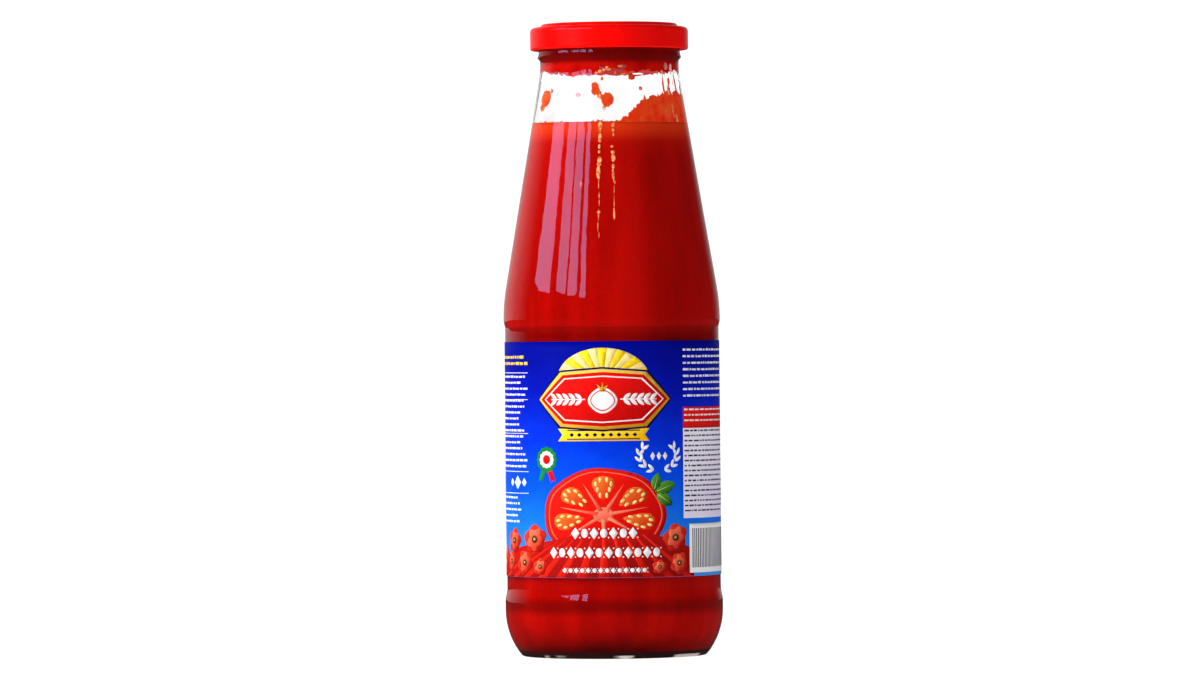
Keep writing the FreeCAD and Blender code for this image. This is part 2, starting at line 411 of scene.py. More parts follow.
# drops as (degrees right of the front, height, half width, half height) in mm
DROPS = [
    (-12.4, 199.9, 1.6, 2.6),
    (-8.6, 197.8, 0.9, 1.2),
    (-2.0, 195.9, 2.3, 2.7),
    (19.5, 204.0, 1.5, 1.4),
    (27.0, 204.6, 2.6, 0.45),
    (-64.0, 196.8, 3.2, 3.1),
    (-68.0, 193.8, 1.5, 1.8),
    (52.0, 200.5, 0.55, 4.5),
    (60.0, 199.0, 0.7, 6.5),
    (71.0, 199.5, 0.9, 6.0),
    (118.0, 196.0, 2.4, 3.0),
    (150.0, 201.2, 1.1, 0.9),
    (-150.0, 199.0, 1.3, 1.1),
    (-112.0, 200.4, 0.9, 1.0),
]
# bare places in the band, in the same terms
BARE_SPOTS = [
    (-7.5, 207.4, 0.7, 0.55),
    (11.0, 207.8, 1.6, 0.6),
    (58.0, 208.0, 0.8, 1.3),
    (66.0, 207.4, 0.7, 1.6),
]


def smooth_step(low, high, value):
    share = min(1, max(0, (value - low) / (high - low)))
    return share * share * (3 - 2 * share)


def turned_from_front(point):
    """Degrees round the jar from its front, positive to the right as one faces it."""
    return math.degrees(math.atan2(point.x, -point.y))


def inside_spot(spot, degrees, height, radius):
    """How far inside an oval spot a point of the wall lies, in metres; negative outside it."""
    spot_degrees, spot_height, half_width, half_height = spot
    across = math.radians((degrees - spot_degrees + 180) % 360 - 180) * radius / (half_width * MM)
    along = (height - spot_height * MM) / (half_height * MM)
    return (1 - math.hypot(across, along)) * min(half_width, half_height) * MM


def clinging(point):
    """How far inside the wetted area a point of the inner wall lies, in metres; negative where clean."""
    degrees = turned_from_front(point)
    radius = math.hypot(point.x, point.y)
    around = outward(point) * 8
    rough = noise.noise(Vector((around.x * 1.3, around.y * 1.3, point.z / (4 * MM))))
    fine = noise.noise(Vector((around.x * 5, around.y * 5, point.z / (1.2 * MM))))
    sag = BAND_SAG * math.exp(-(((degrees - BAND_SAG_AT) / BAND_SAG_WIDTH) ** 2))
    band = point.z - BAND_EDGE + sag + 1.3 * MM * rough + 0.5 * MM * fine
    climb = smooth_step(*TIDE_RISES, degrees) * (1 - smooth_step(*TIDE_FALLS, degrees))
    tide = LEVEL + 1.3 * MM + TIDE_HEIGHT * climb - point.z + 1.8 * MM * rough * climb + 1.3 * MM * fine
    drops = max(inside_spot(drop, degrees, point.z, radius) for drop in DROPS) + 0.35 * MM * fine
    bare = max(inside_spot(spot, degrees, point.z, radius) for spot in BARE_SPOTS)
    return min(max(band, tide, drops), -bare)


def clinging_film(add):
    """Passata as a thin skin: orange where light passes, deep red in the thick band, painted darker under the
    lid.
    """
    place = add("TexCoord").outputs["Object"]
    height = add("SeparateXYZ", {"Vector": place}).outputs["Z"]
    streaks = add("TexNoise", {"Vector": place, "Scale": 240.0, "Detail": 4.0})
    thin = set_ramp(add("ValToRGB", {"Fac": streaks}), [(0.3, "#ff2c08"), (0.75, "#ff6c30")])
    deep = set_ramp(add("ValToRGB", {"Fac": streaks}), [(0.3, "#b00502"), (0.75, "#d01408")])
    band_reach = {"From Min": BAND_EDGE - 3 * MM, "From Max": BAND_EDGE}
    in_band = add("MapRange", {"Value": height, **band_reach}, interpolation_type="SMOOTHSTEP")
    thickening = add("Mix", {"Factor": in_band, "A": thin, "B": deep}, data_type="RGBA")
    # painted shade: inside the transfer ring the film is painted darker, where the lid shades it
    lid_shade_reach = {"From Min": LID_SHADE_FROM - 1.5 * MM, "From Max": LID_SHADE_FROM + 1 * MM}
    painted_lid_shade = add("MapRange", {"Value": height, **lid_shade_reach}, interpolation_type="SMOOTHSTEP")
    colour = add("Mix", {"Factor": painted_lid_shade, "A": thickening, "B": linear("#740202")}, data_type="RGBA")
    return add("BsdfPrincipled", {
        "Base Color": colour,
        "Roughness": 0.25,
        "IOR": JUICE_IOR,
        "Specular IOR Level": 0.0,
        "Subsurface Weight": 0.8,
        "Subsurface Radius": (1.0, 0.15, 0.05),
        "Subsurface Scale": 2 * MM,
        "Normal": add("Bump", {"Height": streaks, "Strength": 0.4, "Distance": 0.3 * MM}),
    })


WALL_MIDDLE_AT_LEVEL = 26.6 * MM  # radius of the middle of the glass wall, where the headspace starts
WALL_MIDDLE_AT_NECK = 23.3 * MM
NECK_BOTTOM = 206.3 * MM
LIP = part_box("glass_jar")[1].z


def on_outer_wall(vert):
    share = min(1, (vert.co.z - LEVEL) / (NECK_BOTTOM - LEVEL))
    return vert.co.x > WALL_MIDDLE_AT_LEVEL + (WALL_MIDDLE_AT_NECK - WALL_MIDDLE_AT_LEVEL) * share


film = half_section("glass_jar", GLASS_CLOSEST_STEP, FILM_ROW)
elsewhere = [
    vert
    for vert in film.verts
    if not JUST_UNDER_LEVEL < vert.co.z < LIP - BARE_UNDER_LIP or on_outer_wall(vert)
]
bmesh.ops.delete(film, geom=elsewhere, context="VERTS")
turn(film, FILM_STEPS)
clean = [face for face in film.faces if clinging(face.calc_center_median()) < 0]
bmesh.ops.delete(film, geom=clean, context="FACES")
for _ in range(3):
    ragged = [vert for vert in film.verts if vert.is_boundary]
    bmesh.ops.smooth_vert(film, verts=ragged, factor=0.5, use_axis_x=True, use_axis_y=True, use_axis_z=True)
wall_side = film.verts[:]
skin_side = [
    item
    for item in bmesh.ops.extrude_face_region(film, geom=film.faces[:], use_keep_orig=True)["geom"]
    if isinstance(item, bmesh.types.BMVert)
]
for vert in skin_side:
    lumps = 0.7 + 0.5 * noise.noise(vert.co / (2.5 * MM))
    thickness = min(FILM_THICKEST, FILM_THINNEST + max(0, clinging(vert.co)) * 0.4) * lumps
    vert.co -= outward(vert.co) * thickness
for vert in wall_side:
    vert.co += outward(vert.co) * FILM_REACH_INTO_WALL
bmesh.ops.recalc_face_normals(film, faces=film.faces)
finished(film, "passata_film", [make_material("clinging_tomato_film", clinging_film)])


# ---- Runs of pale juice ----
# Thin runs of cleared juice between the passata and the glass. They start at the level, break up into beads
# and thin out downwards; more beads hang at the edge of the band under the lid. Their pale peach is partly a
# painted highlight, and the beads at the band's edge stand in for painted glints.

RUN_DEPTH = 0.16 * MM
RUNS_LOW = 120 * MM  # all of them lie between these two heights
RUNS_HIGH = LIP - 3 * MM
# each bead as (degrees right of the front, height of its middle, half width, half height) in mm
BEADS = [
    (-6.6, 203.4, 0.5, 0.7),
    (-5.2, 206.6, 0.45, 0.5),
    (-2.3, 207.4, 0.6, 0.45),
    (9.0, 207.9, 0.8, 0.4),
    (5.0, 205.6, 0.3, 0.8),
    (60.0, 192.0, 0.4, 2.6),
    (57.0, 199.5, 0.3, 2.0),
    (1.4, 179.4, 0.5, 0.4),
    (-20.5, 166.2, 0.35, 0.9),
    (-8.0, 197.2, 0.5, 1.1),
    (-4.6, 193.1, 0.6, 0.9),
    (-11.6, 205.4, 0.5, 0.5),
    (-8.4, 206.0, 0.7, 0.6),
    (-1.0, 206.8, 0.9, 0.5),
    (14.0, 204.9, 1.6, 0.35),
    (46.0, 205.6, 0.5, 0.7),
    (52.0, 205.8, 0.5, 0.8),
    (64.0, 189.6, 0.6, 1.6),
]
juice_dice = random.Random(12)


def add_run(degrees, high, low, half_width):
    """Beads of uneven length down one line, which wanders a little."""
    height = high
    while height > low:
        share = (height - low) / (high - low)
        half_height = juice_dice.uniform(0.5, 2.4)
        swell = half_width * (0.5 + 0.65 * share) * juice_dice.uniform(0.7, 1.3)
        BEADS.append((degrees + juice_dice.uniform(-0.5, 0.5), height - half_height, swell, half_height))
        height -= half_height * juice_dice.uniform(1.7, 2.6)


for run in [
    (-7.7, 188.2, 177.2, 0.62),
    (-8.1, 175.8, 170.4, 0.7),
    (-7.8, 169.5, 149.5, 0.2),
    (-7.7, 156.9, 156.0, 0.4),
    (2.6, 188.0, 183.6, 0.5),
    (2.2, 178.0, 171.2, 0.6),
    (2.6, 170.6, 155.0, 0.2),
    (2.4, 158.0, 157.2, 0.4),
]:
    add_run(*run)


def juice_with_painted_glints(add):
    """Cleared tomato juice: orange, watery, with pale painted highlights where light would gather in it."""
    pulp = add("TexNoise", {"Vector": add("TexCoord").outputs["Object"], "Scale": 900.0, "Detail": 2.0})
    # painted highlight: the pale peach end of the ramp stands in for glints of light along the runs
    ramp = set_ramp(add("ValToRGB", {"Fac": pulp}), [(0.38, "#ee5c28"), (0.62, "#ffc08a")])
    return add("BsdfPrincipled", {
        "Base Color": ramp,
        "Roughness": 0.2,
        "IOR": 1.34,
        "Specular IOR Level": 0.0,
    })


profile = half_section("glass_jar", GLASS_CLOSEST_STEP, FILM_ROW)
inner_wall = [
    (vert.co.z, vert.co.x)
    for vert in profile.verts
    if RUNS_LOW < vert.co.z < RUNS_HIGH and not on_outer_wall(vert)
]
inner_wall.sort()
profile.free()


def inside_radius(height):
    return min(inner_wall, key=lambda place: abs(place[0] - height))[1]


juice = bmesh.new()
for degrees, height, half_width, half_height in BEADS:
    turned = Matrix.Rotation(math.radians(degrees), 4, "Z")
    place = Matrix.Translation((0, -inside_radius(height * MM) - REACH_INTO_WALL, height * MM))
    narrowing = inside_radius((height - 1) * MM) - inside_radius((height + 1) * MM)
    lean_back = Matrix.Rotation(-math.atan2(narrowing, 2 * MM), 4, "X")
    size = Matrix.Diagonal((half_width * MM, RUN_DEPTH, half_height * MM, 1))
    bmesh.ops.create_uvsphere(
        juice, u_segments=14, v_segments=10, radius=1, matrix=turned @ place @ lean_back @ size
    )
finished(juice, "juice_runs", [make_material("tomato_juice_with_painted_glints", juice_with_painted_glints)])


# ---- The sealing ring ----
# A ring of soft cream-coloured compound, flowed into the lid and cured there. The lip has pressed a groove in
# it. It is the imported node, and only its material is made here.


def sealing_compound(add):
    """Cured plastisol: matt, slightly waxy."""
    grain = add("TexNoise", {"Vector": add("TexCoord").outputs["Object"], "Scale": 900.0, "Detail": 2.0})
    ramp = set_ramp(add("ValToRGB", {"Fac": grain}), [(0.3, "#d8cfb8"), (0.7, "#e2dac6")])
    bump = add("Bump", {"Height": grain, "Strength": 0.2, "Distance": 0.05 * MM})
    return add("BsdfPrincipled", {"Base Color": ramp, "Roughness": 0.55, "Normal": bump})


ring_material = make_material("cream_sealing_compound", sealing_compound)
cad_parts["sealing_ring"].material_slots[0].material = ring_material


# ---- The lid ----
# Tinplate, enamelled red in the flat, then pressed: safety button, raised rim, skirt, and an edge rolled
# inwards. The enamel is glossy, with a fine orange peel and faint rubbed places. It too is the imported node.


def red_enamel(add):
    """Stoved enamel on tinplate."""
    place = add("TexCoord").outputs["Object"]
    peel = add("TexNoise", {"Vector": place, "Scale": 1100.0, "Detail": 1.0})
    rub = add("TexNoise", {"Vector": place, "Scale": 70.0, "Detail": 6.0, "Roughness": 0.7})
    ramp = set_ramp(add("ValToRGB", {"Fac": rub}), [(0.35, "#f90301"), (0.65, "#ff0502")])
    rubbed = {"From Min": 0.3, "From Max": 0.7, "To Min": 0.24, "To Max": 0.3}
    return add("BsdfPrincipled", {
        "Base Color": ramp,
        "Roughness": add("MapRange", {"Value": rub, **rubbed}),
        "Specular IOR Level": 0.06,
        "Coat Weight": 0.32,
        "Coat Roughness": 0.04,
        "Normal": add("Bump", {"Height": peel, "Strength": 0.03, "Distance": 0.04 * MM}),
    })


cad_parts["lid"].material_slots[0].material = make_material("red_stoved_enamel", red_enamel)


# ---- The paper label ----
# Coated paper, printed blue, wrapped once round the jar and glued over its own end at the back. Glue and
# blown glass under it leave it very slightly wavy. Its cut edges are white.
# A place on the label is given flat: s along the paper from its front, to the right, and z for the height.

label_low, label_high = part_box("paper_label")
LABEL_BOTTOM = label_low.z
LABEL_TOP = label_high.z
PANEL_RADIUS = 37.92 * MM
PAPER = 0.14 * MM
GLUE = 0.02 * MM
INNER_END = math.radians(-181)
RAMP_START = math.radians(177.5)
RAMP_END = math.radians(179)
OUTER_END = math.radians(190)
WAVE = 0.035 * MM
LABEL_COLUMNS = 190  # the flat facets of the paper, which its print follows
LABEL_ROWS = 24


def wave(angle, height):
    """The paper's slight unevenness over the glass, never inwards."""
    around = Vector((math.sin(angle), -math.cos(angle))) * 3.2
    return WAVE * (0.5 + 0.5 * noise.noise(Vector((around.x, around.y, height / (26 * MM)))))


def wrapped(flat):
    """Where a point of the flat label, its own z standing proud of the glass, lies on the jar."""
    angle = flat.x / PANEL_RADIUS
    overlap = min(1, max(0, (angle - RAMP_START) / (RAMP_END - RAMP_START)))
    radius = PANEL_RADIUS + flat.z + overlap * (PAPER + GLUE) + wave(angle, flat.y)
    return Vector((radius * math.sin(angle), -radius * math.cos(angle), flat.y))


def wrap(bm):
    for vert in bm.verts:
        vert.co = wrapped(vert.co)
    bm.normal_update()


def finish_print(add, colour):
    """The coat that all the print shares: semi-gloss, following the paper's fibres very faintly."""
    fibres = add("TexNoise", {"Vector": add("TexCoord").outputs["Object"], "Scale": 600.0, "Detail": 3.0})
    bump = add("Bump", {"Height": fibres, "Strength": 0.12, "Distance": 0.03 * MM})
    return add("BsdfPrincipled", {
        "Base Color": colour,
        "Roughness": 0.42,
        "Specular IOR Level": 0.03,
        "Normal": bump,
    })


def coated_paper(add):
    """Blue ground of the print: nearly navy at the top, clearing to azure at the foot."""
    place = add("UVMap", uv_map="flat_label").outputs["UV"]
    up = add("SeparateXYZ", {"Vector": place}).outputs["Y"]
    mottle = add("TexNoise", {"Vector": place, "Scale": 9.0, "Detail": 3.0})
    height = add("Math", {0: mottle, 1: 0.16, 2: up}, operation="MULTIPLY_ADD")
    ramp = set_ramp(add("ValToRGB", {"Fac": height}), [
        (0.08, "#3296e6"),
        (0.28, "#1678ec"),
        (0.47, "#0050f0"),
        (0.66, "#0030dc"),
        (0.86, "#0013b4"),
        (1.0, "#000a96"),
    ])
    return finish_print(add, ramp)


def bare_paper(add):
    """The white core of the paper, which shows at its cut edges."""
    fibres = add("TexNoise", {"Vector": add("TexCoord").outputs["Object"], "Scale": 800.0, "Detail": 4.0})
    ramp = set_ramp(add("ValToRGB", {"Fac": fibres}), [(0.3, "#e6e3da"), (0.7, "#f4f2ec")])
    return add("BsdfPrincipled", {"Base Color": ramp, "Roughness": 0.8})


def add_flat_uv(bm, place):
    """Writes the UV map "flat_label", by a function of the flat place."""
    flat_map = bm.loops.layers.uv.new("flat_label")
    for face in bm.faces:
        for loop in face.loops:
            loop[flat_map].uv = place(loop.vert.co)


label_start = INNER_END * PANEL_RADIUS
label_length = (OUTER_END - INNER_END) * PANEL_RADIUS
label_height = LABEL_TOP - LABEL_BOTTOM
label = bmesh.new()
bmesh.ops.create_grid(
    label,
    x_segments=LABEL_COLUMNS,
    y_segments=LABEL_ROWS,
    size=0.5,
    matrix=Matrix.Translation((label_start + label_length / 2, LABEL_BOTTOM + label_height / 2, PAPER))
    @ Matrix.Diagonal((label_length, label_height, 1, 1)),
)
add_flat_uv(label, lambda at: (at.x / label_height, (at.y - LABEL_BOTTOM) / label_height))
bmesh.ops.solidify(label, geom=label.faces[:], thickness=PAPER)
label.normal_update()
for face in label.faces:
    face.material_index = int(abs(face.normal.z) < 0.5)
wrap(label)
bmesh.ops.recalc_face_normals(label, faces=label.faces)
paper_materials = [
    make_material("coated_paper_blue_ground", coated_paper),
    make_material("white_paper_core", bare_paper),
]
finished(label, "label_sheet", paper_materials, ["paper_label"])


# ---- The print: how an ink lies ----
# Each ink is a film on the paper, a little thicker where it overprints another. A shape is laid out flat, in
# mm from the label's front and from the table, then cut along the paper's facets and wrapped with it.

INK = 0.012 * MM


def layer(number):
    """How proud of the glass the top of an ink lies: 1 on the bare ground, 2 and up where it overprints."""
    return PAPER + number * INK


def add_shape(bm, outline, number, ink_index):
    """One flat printed shape. Its own UV runs from 0 to 1 over its width and its height."""
    uv_layer = bm.loops.layers.uv.verify()
    verts = [bm.verts.new((along * MM, up * MM, layer(number))) for along, up in outline]
    face = bm.faces.new(verts)
    face.material_index = ink_index
    left = min(vert.co.x for vert in verts)
    low = min(vert.co.y for vert in verts)
    width = max(vert.co.x for vert in verts) - left
    height = max(vert.co.y for vert in verts) - low
    for loop in face.loops:
        loop[uv_layer].uv = ((loop.vert.co.x - left) / width, (loop.vert.co.y - low) / height)


def add_band(bm, outer, inner, number, ink_index):
    """A printed ring between two outlines of as many points."""
    uv_layer = bm.loops.layers.uv.verify()
    rim, hole = [
        [bm.verts.new((along * MM, up * MM, layer(number))) for along, up in outline]
        for outline in (outer, inner)
    ]
    for index in range(len(outer)):
        face = bm.faces.new([rim[index - 1], rim[index], hole[index], hole[index - 1]])
        face.material_index = ink_index
        for loop in face.loops:
            loop[uv_layer].uv = (0.5, 0.5)


def moved(outline, along, up, turn_deg=0):
    """An outline turned about its own origin and set down elsewhere."""
    cosine = math.cos(math.radians(turn_deg))
    sine = math.sin(math.radians(turn_deg))
    return [(along + x * cosine - y * sine, up + x * sine + y * cosine) for x, y in outline]


def ellipse(along, up, half_width, half_height, turn_deg=0, points=48, lobes=0, lobe_depth=0.0):
    """An ellipse's outline, turned, and lobed if asked."""
    outline = []
    for index in range(points):
        angle = 2 * math.pi * index / points
        reach = 1 + lobe_depth * math.cos(lobes * angle)
        outline.append((half_width * reach * math.cos(angle), half_height * reach * math.sin(angle)))
    return moved(outline, along, up, turn_deg)


def box(left, low, right, high):
    return [(left, low), (right, low), (right, high), (left, high)]


def press(bm, name, inks):
    """Cuts the flat shapes along the facets of the label, gives them thickness and wraps them on it."""
    bm.normal_update()
    bmesh.ops.triangulate(bm, faces=bm.faces[:], ngon_method="EAR_CLIP")
    for axis, start, length, facets in [
        (0, label_start, label_length, LABEL_COLUMNS),
        (1, LABEL_BOTTOM, label_height, LABEL_ROWS),
    ]:
        reach = [vert.co[axis] for vert in bm.verts]
        low = min(reach)
        high = max(reach)
        cut_normal = Vector((1 - axis, axis, 0))
        for number in range(1, facets):
            place = start + number * length / facets
            if low < place < high:
                everything = bm.verts[:] + bm.edges[:] + bm.faces[:]
                bmesh.ops.bisect_plane(bm, geom=everything, plane_co=cut_normal * place, plane_no=cut_normal)
    under = bmesh.ops.extrude_face_region(bm, geom=bm.faces[:], use_keep_orig=True)["geom"]
    for item in under:
        if isinstance(item, bmesh.types.BMVert):
            item.co.z = PAPER - INK
    wrap(bm)
    bmesh.ops.recalc_face_normals(bm, faces=bm.faces[:])
    finished(bm, name, inks)


def printed_ink(add, shade, light):
    """A printed ink, from its shade at the lower right of a shape to its light at the upper left."""
    parts = add("SeparateXYZ", {"Vector": add("UVMap")}).outputs
    slant = add("Math", {0: parts["Y"], 1: parts["X"]}, operation="SUBTRACT")
    screen = add("TexNoise", {"Vector": add("TexCoord").outputs["Object"], "Scale": 450.0, "Detail": 2.0})
    height = add("Math", {0: screen, 1: 0.5, 2: slant}, operation="MULTIPLY_ADD")
    share = add("MapRange", {"Value": height, "From Min": -0.5, "From Max": 1.0})
    return finish_print(add, set_ramp(add("ValToRGB", {"Fac": share}), [(0.1, shade), (0.9, light)]))


def ink(name, shade, light):
    return make_material(name, printed_ink, shade, light)


# ---- The print: sunburst and plaque ----
# A cream sunburst stands on a red plaque edged in gold and navy. A tomato and two sprigs are reversed out of
# the red.

CENTRE_LINE = -3.5  # the design stands a little left of the front
SUNBURST_LOW = 97.0
PLAQUE_HEIGHT = 91.0
RAYS = 15
white_ink = ink("white_ink", "#e9e6ee", "#fbfaf6")
cream_ink = ink("cream_ink", "#f0c868", "#fbe9a0")
yellow_ink = ink("yellow_ink", "#f2b90c", "#fde22c")
gold_ink = ink("gold_ink", "#c98a18", "#f3d054")
red_ink = ink("red_ink", "#c00806", "#ee1410")
navy_ink = ink("navy_ink", "#04083c", "#0a1266")

sunburst = bmesh.new()
for number in range(RAYS):
    fan = [(0, 0)]
    for share in (0, 0.5, 1):
        angle = math.pi * (number + share) / RAYS
        fan.append((17.0 * math.cos(angle), 12.0 * math.sin(angle)))
    add_shape(sunburst, moved(fan, CENTRE_LINE, SUNBURST_LOW), 1, number % 2)
press(sunburst, "print_sunburst", [cream_ink, yellow_ink])


def plaque(half_width, half_height, point):
    """A long hexagon whose ends run out to points, set at the plaque's place."""
    shoulder = half_width - point
    crown = half_height * 1.12
    upper = [(half_width, 0), (shoulder, half_height), (0, crown), (-shoulder, half_height)]
    lower = [(-half_width, 0), (-shoulder, -half_height), (0, -crown), (shoulder, -half_height)]
    return moved(lower + upper, CENTRE_LINE, PLAQUE_HEIGHT)


sign = bmesh.new()
for margin, number, colour in [(1.1, 2, 2), (0.5, 3, 1), (-0.5, 4, 0)]:
    add_shape(sign, plaque(24.0 + margin, 9.0 + margin, 9.0), number, colour)
add_band(sign, plaque(22.0, 7.4, 8.0), plaque(21.5, 7.0, 7.9), 5, 3)
add_shape(sign, ellipse(CENTRE_LINE, 90.6, 5.0, 4.4, lobes=4, lobe_depth=0.035), 5, 3)
add_band(
    sign,
    ellipse(CENTRE_LINE, 90.6, 4.2, 3.6, lobes=4, lobe_depth=0.035),
    ellipse(CENTRE_LINE, 90.6, 3.8, 3.2, lobes=4, lobe_depth=0.035),
    6,
    0,
)
for turn_deg in (50, 90, 130):
    tip = moved([(0, -0.7), (3.2, 0), (0, 0.7)], CENTRE_LINE, 93.8, turn_deg)
    add_shape(sign, tip, 6, 1)


def leaf(length, width, points=9):
    """A pointed leaf, its stalk at the origin, along the first axis."""
    side = []
    for step in range(1, points):
        side.append((length * step / points, width / 2 * math.sin(math.pi * step / points) ** 0.8))
    return [(0, 0)] + [(x, -y) for x, y in side] + [(length, 0)] + side[::-1]


for side in (-1, 1):
    for number in range(5):
        stalk = CENTRE_LINE + side * (7.2 + 2.4 * number)
        for tilt in (-38, 38):
            heading = tilt if side > 0 else 180 - tilt
            add_shape(sign, moved(leaf(3.4, 1.3), stalk, PLAQUE_HEIGHT, heading), 5, 3)
    add_shape(sign, moved(box(-6.5, -0.2, 6.5, 0.2), CENTRE_LINE + side * 12.7, PLAQUE_HEIGHT), 5, 3)
press(sign, "print_plaque", [red_ink, gold_ink, navy_ink, white_ink])


# ---- The print: ribbon, cockade and wreath ----
# A yellow ribbon under the plaque, a small cockade in green, white and red, and a wreath of white leaves.

green_ink = ink("green_ink", "#0b6a2c", "#1f9a48")
RIBBON_HEIGHT = 78.6
COCKADE = (-25.0, 70.0)
WREATH = (16.5, 70.8)

ribbon = bmesh.new()
tail = [(-16.5, -2.2), (16.5, -2.2), (14.8, 0), (16.5, 2.2), (-16.5, 2.2), (-14.8, 0)]
add_shape(ribbon, moved(tail, CENTRE_LINE, RIBBON_HEIGHT), 1, 0)
for edge in (1.5, -1.5):
    add_shape(ribbon, moved(box(-13.0, -0.2, 13.0, 0.2), CENTRE_LINE, RIBBON_HEIGHT + edge), 2, 1)
for number in range(-4, 5):
    add_shape(ribbon, ellipse(CENTRE_LINE + 2.8 * number, RIBBON_HEIGHT, 0.9, 0.75, points=4), 2, 1)
press(ribbon, "print_ribbon", [yellow_ink, navy_ink])

cockade = bmesh.new()
rosette = [ellipse(*COCKADE, size, size, lobes=12, lobe_depth=0.05, points=72) for size in (4.4, 3.0, 1.6)]
add_band(cockade, rosette[0], rosette[1], 2, 0)
add_band(cockade, rosette[1], rosette[2], 2, 1)
add_shape(cockade, rosette[2], 2, 2)
for side, colour in [(-1, 0), (1, 2)]:
    streamer = [(-0.9, -8.6), (0, -7.6), (0.9, -8.6), (1.1, -3.2), (-1.1, -3.2)]
    add_shape(cockade, moved(streamer, *COCKADE, 20 * side), 1, colour)
press(cockade, "print_cockade", [green_ink, white_ink, red_ink])

wreath = bmesh.new()
for side in (-1, 1):
    for number in range(5):
        bearing = -90 + side * (16 + 26 * number)
        along = WREATH[0] + 7.2 * math.cos(math.radians(bearing))
        up = WREATH[1] + 4.9 * math.sin(math.radians(bearing))
        for lean in (-28, 28):
            add_shape(wreath, moved(leaf(3.0, 1.1), along, up, bearing + side * 90 + lean), 1, 0)
for number in (-1, 0, 1):
    add_shape(wreath, ellipse(WREATH[0] + 2.4 * number, WREATH[1] + 0.2, 0.9, 1.5, points=4), 1, 0)
press(wreath, "print_wreath", [white_ink])


# ---- The print: the cut tomato ----
# Half a tomato, cut face forward, rises like a sun behind a field. It has a skin, pale flesh round seven
# chambers of orange jelly with cream seeds, and three basil leaves at its side.

skin_ink = ink("tomato_skin_ink", "#8c0706", "#d9200f")
flesh_ink = ink("tomato_flesh_ink", "#cf0604", "#f0180c")
pale_flesh_ink = ink("pale_flesh_ink", "#ec4a34", "#fb8a6c")
jelly_ink = ink("seed_jelly_ink", "#d22c0c", "#f4702c")
leaf_ink = ink("basil_green_ink", "#11551c", "#5aa433")
TOMATO_MIDDLE = (CENTRE_LINE, 50.6)
TOMATO_HALF_SIZE = (22.6, 16.4)
CHAMBERS = 7


def on_cut_face(reach, bearing):
    """A place on the cut face, from its share of the way out to the skin and its bearing."""
    return (
        TOMATO_MIDDLE[0] + TOMATO_HALF_SIZE[0] * reach * math.cos(bearing),
        TOMATO_MIDDLE[1] + TOMATO_HALF_SIZE[1] * reach * math.sin(bearing),
    )


def face_outline(reach):
    bearings = [2 * math.pi * step / 84 for step in range(84)]
    return [on_cut_face(reach * (1 + 0.012 * math.cos(CHAMBERS * turn)), turn) for turn in bearings]


cut_tomato = bmesh.new()
add_shape(cut_tomato, face_outline(1.0), 1, 0)
add_shape(cut_tomato, face_outline(0.96), 2, 1)
add_band(cut_tomato, face_outline(0.925), face_outline(0.905), 3, 2)
add_shape(cut_tomato, face_outline(0.16), 3, 2)
for number in range(-3, 4):
    bearing = math.pi / 2 + 2 * math.pi * number / CHAMBERS
    between = bearing + math.pi / CHAMBERS
    vein = [on_cut_face(0.1, between - 0.4), on_cut_face(0.1, between + 0.4), on_cut_face(0.74, between)]
    add_shape(cut_tomato, vein, 4, 2)
    if abs(number) == 3:  # the two lowest chambers are behind the field
        continue
    chamber = []
    for step in range(24):
        turn = 2 * math.pi * step / 24
        reach = 0.57 + 0.26 * math.cos(turn)
        chamber.append(on_cut_face(reach, bearing + (0.12 + 0.26 * reach) * math.sin(turn)))
    add_shape(cut_tomato, chamber, 3, 3)
    for reach, spread in [(0.42, 0.12), (0.55, 0.17), (0.67, 0.18), (0.75, 0.07)]:
        for side in (-1, 1):
            along, up = on_cut_face(reach, bearing + side * spread)
            seed = ellipse(along, up, 0.95, 0.5, turn_deg=math.degrees(bearing), points=10)
            add_shape(cut_tomato, seed, 4, 4)
press(cut_tomato, "print_cut_tomato", [skin_ink, flesh_ink, pale_flesh_ink, jelly_ink, cream_ink])

basil = bmesh.new()
for along, up, length, width, heading in [
    (15.0, 58.5, 8.5, 4.6, 20),
    (15.5, 58.0, 7.5, 4.2, -35),
    (14.5, 58.8, 6.5, 3.8, 75),
]:
    add_shape(basil, moved(leaf(length, width), along, up, heading), 5, 0)
    add_shape(basil, moved([(0.8, -0.12), (length - 1, 0), (0.8, 0.12)], along, up, heading), 6, 1)
press(basil, "print_basil", [leaf_ink, cream_ink])


# ---- The print: field and poppies ----
# A dark red field with lighter furrows that run to the tomato, and red poppies at both of its ends.

field_ink = ink("field_dark_ink", "#8e0b0c", "#cc150e")
furrow_ink = ink("field_light_ink", "#c20f0a", "#ee2a18")
petal_ink = ink("poppy_red_ink", "#9d0d0a", "#f0391f")
inner_petal_ink = ink("poppy_light_ink", "#c41c10", "#ff7a58")
stamen_ink = ink("stamen_ink", "#16060a", "#3a1420")
eye_ink = ink("poppy_eye_ink", "#5d7a1e", "#cfd06a")
FIELD_LEFT = -63.0
FIELD_RIGHT = 31.5
FIELD_LOW = 28.65


def field_top(along):
    """A low hill, highest under the tomato."""
    return 44.4 + 1.1 * math.sin(0.11 * along + 1.0) - 0.0042 * (along - CENTRE_LINE) ** 2


field = bmesh.new()
ridge = [FIELD_RIGHT - (FIELD_RIGHT - FIELD_LEFT) * step / 60 for step in range(61)]
foot = [(FIELD_LEFT, FIELD_LOW), (FIELD_RIGHT, FIELD_LOW)]
add_shape(field, foot + [(along, field_top(along)) for along in ridge], 5, 0)
for number in range(-6, 5):
    far = CENTRE_LINE + 3.4 * number
    near = CENTRE_LINE + 8.0 * number
    furrow = [(near - 1.9, FIELD_LOW), (near + 1.9, FIELD_LOW)]
    furrow += [(far + 0.3, field_top(far) - 0.9), (far - 0.3, field_top(far) - 0.9)]
    add_shape(field, furrow, 6, 1)
press(field, "print_field", [field_ink, furrow_ink])

